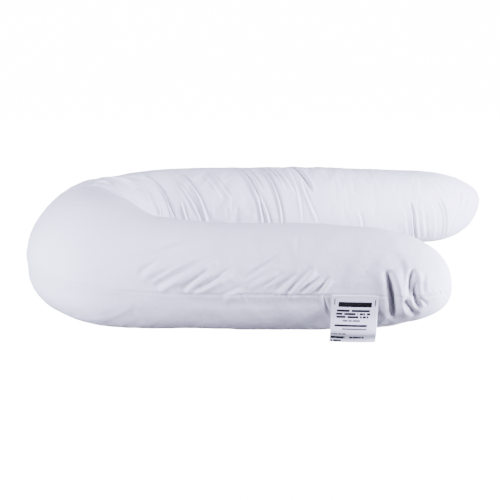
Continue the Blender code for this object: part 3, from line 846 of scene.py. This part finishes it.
def lay_weave_map(cover, along, angle):
    """A UV map in metres along the spine and round the girth, whose only cut is along the outer seam."""
    turn = np.append(angle, 2 * np.pi) * GIRTH_RADIUS
    ring, row = np.meshgrid(np.arange(len(along) - 1), np.arange(len(angle)), indexing="ij")
    u = along[np.stack([ring, ring, ring + 1, ring + 1], axis=-1)]
    v = turn[np.stack([row, row + 1, row + 1, row], axis=-1)]
    fans = []
    for near, far in zip(turn[:-1], turn[1:]):
        middle = (near + far) / 2
        fans += [(0, middle), (along[0], far), (along[0], near)]
        fans += [(along[-1] + END_MARGIN, middle), (along[-1], near), (along[-1], far)]
    places = np.concatenate([np.stack([u, v], axis=-1).reshape(-1, 2), fans])
    cover.data.uv_layers.new(name="weave").data.foreach_set("uv", places.ravel())


def thin(piece, triangles):
    """Takes triangles out of a piece where its surface is smooth, until this many are left."""
    drop = piece.modifiers.new("thin", "DECIMATE")
    drop.ratio = triangles / sum(len(face.vertices) - 2 for face in piece.data.polygons)
    apply_modifiers(piece)


def build_cover(spine):
    """The pillow's cover: rings of cloth along the spine, with its seams, folds and the filling's lumps."""
    rings, rows = ring_places(spine.length), row_angles()
    along, row = np.meshgrid(rings, rows, indexing="ij")
    # from -90 to 270 degrees, so that both seams lie inside the range
    degrees = (np.degrees(row + seam_turn(along)) + 90) % 360 - 90
    place = np.stack([along, girth_place(degrees)], axis=-1)
    drawn = gathered_places(place)
    points = filled_shape(spine, drawn[..., 0], drawn[..., 1] / GIRTH_RADIUS)
    normals = inward_normals(points)
    depth = pinch_depths(place) + crease_depths(place, CREASES) + crease_depths(place, sewn_puckers())
    depth += seam_depths(spine, points) - lumps(points)
    depth -= slack_rises(spine, along, row)
    points = points + normals * depth[..., None]
    points[..., 2] = np.maximum(points[..., 2], 0.0)
    vertices = np.concatenate([points.reshape(-1, 3), tip_points(spine)])
    cover = mesh_object("pillow_cover", vertices, tube_faces(len(rings), len(rows)))
    lay_weave_map(cover, rings, rows)
    thin(cover, COVER_TRIANGLES)
    cover.data.materials.append(cotton())
    sewn = (rings > STITCH_ENDS) & (rings < spine.length - STITCH_ENDS)
    seam_rows = (0, np.argmin(np.abs(rows - np.pi)))
    threads = [points[sewn, row] - normals[sewn, row] * STITCH_RISE for row in seam_rows]
    return cover, threads


# -------- stitches

def stitch_tree(material):
    """Nodes that lay short bars of thread along lines, each a little askew."""
    tree = bpy.data.node_groups.new("stitches", "GeometryNodeTree")
    kinds = {"Seams": "Geometry", "Pitch": "Float", "Length": "Float", "Thread radius": "Float",
             "Tilt": "Float", "Seed": "Int"}
    for name, kind in kinds.items():
        tree.interface.new_socket(name, in_out="INPUT", socket_type="NodeSocket" + kind)
    tree.interface.new_socket("Stitches", in_out="OUTPUT", socket_type="NodeSocketGeometry")
    given = add_node(tree, "NodeGroupInput").outputs
    lines = add_node(tree, "GeometryNodeMeshToCurve", {"Mesh": given["Seams"]}).outputs[0]
    points = add_node(tree, "GeometryNodeCurveToPoints", {"Curve": lines, "Length": given["Pitch"]},
                      mode="LENGTH").outputs
    bar = add_node(tree, "GeometryNodeMeshCylinder", {
        "Vertices": STITCH_SIDES, "Radius": given["Thread radius"], "Depth": given["Length"]}).outputs["Mesh"]
    along = add_node(tree, "FunctionNodeAlignRotationToVector", {"Vector": points["Tangent"]}, axis="Z")
    least = maths(tree, "MULTIPLY", given["Tilt"], -1.0)
    lowest = add_node(tree, "ShaderNodeCombineXYZ", {"X": least, "Y": least}).outputs[0]
    highest = add_node(tree, "ShaderNodeCombineXYZ", {"X": given["Tilt"], "Y": given["Tilt"]}).outputs[0]
    askew = add_node(tree, "FunctionNodeRandomValue", {"Min": lowest, "Max": highest, "Seed": given["Seed"]},
                     data_type="FLOAT_VECTOR").outputs[0]
    turned = add_node(tree, "FunctionNodeRotateRotation", {
        "Rotation": along.outputs[0], "Rotate By": askew}, rotation_space="LOCAL").outputs[0]
    bars = add_node(tree, "GeometryNodeInstanceOnPoints", {
        "Points": points["Points"], "Instance": bar, "Rotation": turned}).outputs[0]
    real = add_node(tree, "GeometryNodeRealizeInstances", {"Geometry": bars}).outputs[0]
    finished = add_node(tree, "GeometryNodeSetMaterial", {"Geometry": real, "Material": material}).outputs[0]
    add_node(tree, "NodeGroupOutput", {"Stitches": finished})
    return tree


def build_stitches(threads):
    """The thread of both seams, where it shows at the bottom of their grooves."""
    ends = np.cumsum([len(thread) for thread in threads])
    edges = [(i, i + 1) for i in range(ends[-1] - 1) if i + 1 not in ends]
    seams = mesh_object("seam_stitches", np.concatenate(threads), [], edges)
    tree = stitch_tree(sewing_thread())
    nodes = seams.modifiers.new("stitches", "NODES")
    nodes.node_group = tree
    values = {"Pitch": STITCH_PITCH, "Length": STITCH_LENGTH, "Thread radius": THREAD_RADIUS,
              "Tilt": float(np.radians(STITCH_TILT)), "Seed": STITCH_SEED}
    for socket in tree.interface.items_tree:
        if socket.name in values:
            nodes[socket.identifier] = values[socket.name]
    apply_modifiers(seams)
    return seams


# -------- label

def label_middle(spine):
    """The label's middle surface: rows down its drop by columns across its width."""
    columns = np.linspace(-0.5, 0.5, LABEL_COLUMNS + 1)
    along = LABEL_ALONG + columns * LABEL_WIDTH
    seam = filled_shape(spine, along, np.zeros_like(along))
    outward = spine.outward(np.array([LABEL_ALONG]))[0]
    sideways = np.array([-outward[1], outward[0]])
    share = np.linspace(0, 1, LABEL_ROWS + 1)
    out = blend(share, LABEL_DROPS, "out")
    step = LABEL_LENGTH / LABEL_ROWS
    falls = np.sqrt(np.maximum(step ** 2 - np.diff(out) ** 2, 0))
    fallen = np.concatenate([[0.0], np.cumsum(falls)])
    sheet = np.zeros((len(share), len(columns), 3))
    sheet[:, :, :2] = seam[:, :2] + np.multiply.outer(out + LABEL_STAND_OFF, outward)[:, None, :]
    turn = 2 * np.radians(LABEL_BOW)
    narrowing = LABEL_WIDTH * (columns - np.sin(turn * columns) / turn)
    sheet[:, :, :2] += (narrowing[None, :] - LABEL_SKEW * share[:, None])[:, :, None] * sideways
    back = LABEL_WIDTH * (1 - np.cos(turn * columns)) / turn
    hollow = LABEL_HOLLOW * np.outer(share * (LABEL_HOLLOW_EASE - share), back)
    sheet[:, :, :2] -= hollow[:, :, None] * outward
    curl = LABEL_CURL * np.outer(share ** 3, (0.5 - columns) ** 2)
    sheet[:, :, 2] = seam[:, 2] - fallen[:, None] + curl
    sheet[:, :, :2] += LABEL_CURL_OUT * curl[:, :, None] * outward
    tucked = sheet[:1].copy()
    tucked[:, :, :2] -= LABEL_TUCK * outward
    return np.concatenate([tucked, sheet]), share


def build_label(spine):
    """The label: a satin ribbon sewn into the seam, with its print on the face."""
    sheet, share = label_middle(spine)
    rows, columns = sheet.shape[:2]
    label = mesh_object("label_ribbon", sheet.reshape(-1, 3), grid_faces(rows, columns, closed=False))
    down = np.concatenate([[0.0], share]) * LABEL_LENGTH
    # the label's left edge, as it is read, is its far end along the spine
    across = (0.5 - np.linspace(-0.5, 0.5, columns)) * LABEL_WIDTH
    corner = np.zeros(len(label.data.loops), dtype=np.int64)
    label.data.loops.foreach_get("vertex_index", corner)
    row, column = np.divmod(corner, columns)
    places = np.stack([across[column], down[row]], axis=1)
    label.data.uv_layers.new(name="print").data.foreach_set("uv", places.ravel())
    label.data.materials.append(satin(printed=True))
    label.data.materials.append(satin(printed=False))
    wall = label.modifiers.new("wall", "SOLIDIFY")
    wall.thickness = LABEL_THICKNESS
    wall.offset = 0.0
    wall.material_offset = 1
    apply_modifiers(label)
    return label


# -------- materials

def set_inputs(tree, node, inputs):
    """Gives a node's inputs, each as a socket to link or as a plain value."""
    for socket, value in inputs.items():
        if isinstance(value, bpy.types.NodeSocket):
            tree.links.new(value, node.inputs[socket])
        else:
            node.inputs[socket].default_value = value


def add_node(tree, kind, inputs=None, **settings):
    made = tree.nodes.new(kind)
    for name, value in settings.items():
        setattr(made, name, value)
    set_inputs(tree, made, inputs or {})
    return made


def maths(tree, operation, first, second=0.0, third=0.0):
    return add_node(tree, "ShaderNodeMath", {0: first, 1: second, 2: third}, operation=operation).outputs[0]


def new_material(name):
    material = bpy.data.materials.new(name)
    material.use_nodes = True
    return material, material.node_tree


def finish(tree, inputs):
    """Gives the inputs of a material's surface."""
    set_inputs(tree, tree.nodes["Principled BSDF"], inputs)


def read_map(tree, name):
    """The two coordinates of a UV map that is laid out in metres."""
    chart = add_node(tree, "ShaderNodeUVMap", uv_map=name).outputs[0]
    split = add_node(tree, "ShaderNodeSeparateXYZ", {0: chart})
    return split.outputs["X"], split.outputs["Y"]


def grain(tree, across, down, size_across, size_down, detail=2.0):
    """Noise from 0 to 1 on two coordinates, with a size for its grain each way."""
    place = add_node(tree, "ShaderNodeCombineXYZ", {
        "X": maths(tree, "DIVIDE", across, size_across), "Y": maths(tree, "DIVIDE", down, size_down)})
    return add_node(tree, "ShaderNodeTexNoise", {"Vector": place.outputs[0], "Scale": 1.0, "Detail": detail},
                    noise_dimensions="2D").outputs["Fac"]


def wave(tree, place, length):
    """A wave from -1 to 1 along a coordinate."""
    return maths(tree, "SINE", maths(tree, "MULTIPLY", place, 2 * np.pi / length))


def stepped(tree, value, low, high, kind="LINEAR"):
    """0 where a value is below the low one, and 1 above the high one."""
    return add_node(tree, "ShaderNodeMapRange", {"Value": value, "From Min": low, "From Max": high},
                    interpolation_type=kind).outputs[0]


def mixed(tree, share, first, second):
    """A colour between two others, each a socket or a plain colour."""
    inputs = {"Factor": share}
    for socket, colour in ((6, first), (7, second)):
        inputs[socket] = colour if isinstance(colour, bpy.types.NodeSocket) else (*colour, 1.0)
    return add_node(tree, "ShaderNodeMix", inputs, data_type="RGBA").outputs[2]


def bumped(tree, height, distance, **below):
    return add_node(tree, "ShaderNodeBump", {"Height": height, "Distance": distance, **below}).outputs[0]


def cotton():
    """Fine plain-woven cotton: threads with slubs, fine crumpling, and a faint sheen."""
    material, tree = new_material("cotton_percale")
    along, across = read_map(tree, "weave")
    slubs = maths(tree, "ADD", grain(tree, along, across, SLUB_LENGTH, COTTON_PITCH),
                  grain(tree, along, across, COTTON_PITCH, SLUB_LENGTH))
    # each thread goes over one and under one
    weave = maths(tree, "MULTIPLY", wave(tree, along, 2 * COTTON_PITCH), wave(tree, across, 2 * COTTON_PITCH))
    threads = maths(tree, "MULTIPLY", weave, slubs)
    crumple = grain(tree, along, across, *CRUMPLE_SIZES, detail=3.0)
    blotches = grain(tree, along, across, BLOTCH_SIZE, BLOTCH_SIZE)
    shade = maths(tree, "MULTIPLY_ADD", slubs, SLUB_SHADE, maths(tree, "MULTIPLY", blotches, BLOTCH_SHADE))
    woven = bumped(tree, threads, WEAVE_HEIGHT, Normal=bumped(tree, crumple, CRUMPLE_HEIGHT))
    finish(tree, {"Base Color": mixed(tree, shade, COTTON_SHADOW, COTTON_WHITE), "Roughness": 0.85,
                  "Sheen Weight": 0.10, "Sheen Roughness": 0.5, "Normal": woven})
    return material


def sewing_thread():
    material, tree = new_material("sewing_thread")
    place = add_node(tree, "ShaderNodeTexCoord").outputs["Object"]
    twist = add_node(tree, "ShaderNodeTexNoise", {"Vector": place, "Scale": 1 / THREAD_RADIUS, "Detail": 1.0})
    colour = mixed(tree, twist.outputs["Fac"], THREAD_SHADOW, COTTON_WHITE)
    finish(tree, {"Base Color": colour, "Roughness": 0.6})
    return material


def bar_mask(tree, across, down, bar):
    """1 inside a printed bar, with soft edges, and 0 outside."""
    inside = []
    for place, low, high in ((across, bar.left, bar.right), (down, bar.top, bar.top + bar.height)):
        away = maths(tree, "ABSOLUTE", maths(tree, "SUBTRACT", place, (low + high) / 2))
        edge = maths(tree, "SUBTRACT", (high - low) / 2, away)
        inside.append(stepped(tree, edge, -INK_BLEED, INK_BLEED, "SMOOTHSTEP"))
    mask = maths(tree, "MULTIPLY", *inside)
    if bar.dash:
        lengths = grain(tree, across, bar.top, bar.dash, DASH_ROW, detail=1.0)
        mask = maths(tree, "MULTIPLY", mask, stepped(tree, lengths, DASH_GAP, DASH_GAP + DASH_EDGE))
    return maths(tree, "MULTIPLY", mask, bar.ink)


def satin(printed):
    """White satin ribbon. On its face it has plain printed bars."""
    material, tree = new_material("label_satin_face" if printed else "label_satin_back")
    across, down = read_map(tree, "print")
    floats = grain(tree, across, down, SATIN_FLOAT, SATIN_PITCH)
    ribs = maths(tree, "MULTIPLY", wave(tree, down, SATIN_PITCH), floats)
    ribbon = mixed(tree, floats, SATIN_SHADOW, SATIN_WHITE)
    if printed:
        ink = 0.0
        for bar in PRINTED_BARS:
            ink = maths(tree, "MAXIMUM", ink, bar_mask(tree, across, down, bar))
        least, most = INK_WEAR
        wear = grain(tree, across, down, INK_WEAR_SIZE, INK_WEAR_SIZE)
        worn = maths(tree, "MULTIPLY", ink, maths(tree, "MULTIPLY_ADD", wear, most - least, least))
        ribbon = mixed(tree, worn, ribbon, INK)
    finish(tree, {"Base Color": ribbon, "Roughness": 0.36, "Specular IOR Level": 0.35,
                  "Normal": bumped(tree, ribs, RIB_HEIGHT)})
    return material


def studio_paper():
    material, tree = new_material("studio_paper")
    finish(tree, {"Base Color": (*PAPER_WHITE, 1.0), "Roughness": 0.95,
                  "Emission Color": (*PAPER_GLOW, 1.0), "Emission Strength": STUDIO_GLOW})
    return material


# -------- room

def aim_camera():
    down, turn, roll = (np.radians(value) for value in (CAMERA_DOWN, CAMERA_TURN, CAMERA_ROLL))
    data = bpy.data.cameras.new("camera")
    data.lens = CAMERA_LENS
    data.sensor_width = SENSOR
    camera = bpy.data.objects.new("camera", data)
    aimed = Matrix.Rotation(-turn, 4, "Z") @ Matrix.Rotation(np.pi / 2 - down, 4, "X")
    camera.matrix_world = Matrix.Translation(CAMERA_PLACE) @ aimed @ Matrix.Rotation(roll, 4, "Z")
    bpy.context.scene.collection.objects.link(camera)
    bpy.context.scene.camera = camera


def hang_lamps():
    for lamp in LAMPS:
        data = bpy.data.lights.new(lamp.name, "AREA")
        data.shape = "RECTANGLE"
        data.size = lamp.width
        data.size_y = lamp.height
        data.energy = lamp.power
        data.color = LAMP_WHITE
        box = bpy.data.objects.new(lamp.name, data)
        box.location = lamp.place
        box.visible_camera = False
        direction = Vector(lamp.aim) - Vector(lamp.place)
        box.rotation_euler = direction.to_track_quat("-Z", "Y").to_euler()
        bpy.context.scene.collection.objects.link(box)


def light_sky():
    world = bpy.data.worlds.new("studio")
    world.use_nodes = True
    background = world.node_tree.nodes["Background"]
    background.inputs["Color"].default_value = (*LAMP_WHITE, 1.0)
    background.inputs["Strength"].default_value = SKY_STRENGTH
    bpy.context.scene.world = world


def lay_floor():
    """A pale floor and a dome round the studio, of one paper, which light nothing themselves."""
    rises = np.arange(DOME_RINGS) / DOME_RINGS * np.pi / 2
    turns = np.arange(DOME_SIDES) / DOME_SIDES * 2 * np.pi
    rise, turn = np.meshgrid(rises, turns, indexing="ij")
    rings = np.stack([np.cos(rise) * np.cos(turn), np.cos(rise) * np.sin(turn), np.sin(rise)], axis=-1)
    vertices = FLOOR_REACH * np.concatenate([rings.reshape(-1, 3), [(0, 0, 1)]]) - (0, 0, FLOOR_DROP)
    last = (DOME_RINGS - 1) * DOME_SIDES
    faces = [face[::-1] for face in grid_faces(DOME_RINGS, DOME_SIDES, closed=True)]
    faces += [(last + j, len(vertices) - 1, last + (j + 1) % DOME_SIDES) for j in range(DOME_SIDES)]
    floor = mesh_object("floor", vertices[:DOME_SIDES], [tuple(range(DOME_SIDES))])
    dome = mesh_object("backdrop", vertices, faces)
    dome.visible_shadow = False
    paper = studio_paper()
    for piece in (floor, dome):
        piece.data.materials.append(paper)
        piece.visible_diffuse = False
        piece.visible_glossy = False


# -------- everything

def main():
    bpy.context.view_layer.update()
    aim_camera()
    spine = Spine()
    cover, threads = build_cover(spine)
    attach(cover, "root")
    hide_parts("pillow")
    stitches = build_stitches(threads)
    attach(stitches, "root")
    label = build_label(spine)
    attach(label, "root")
    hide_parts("label")
    lay_floor()
    hang_lamps()
    light_sky()


main()
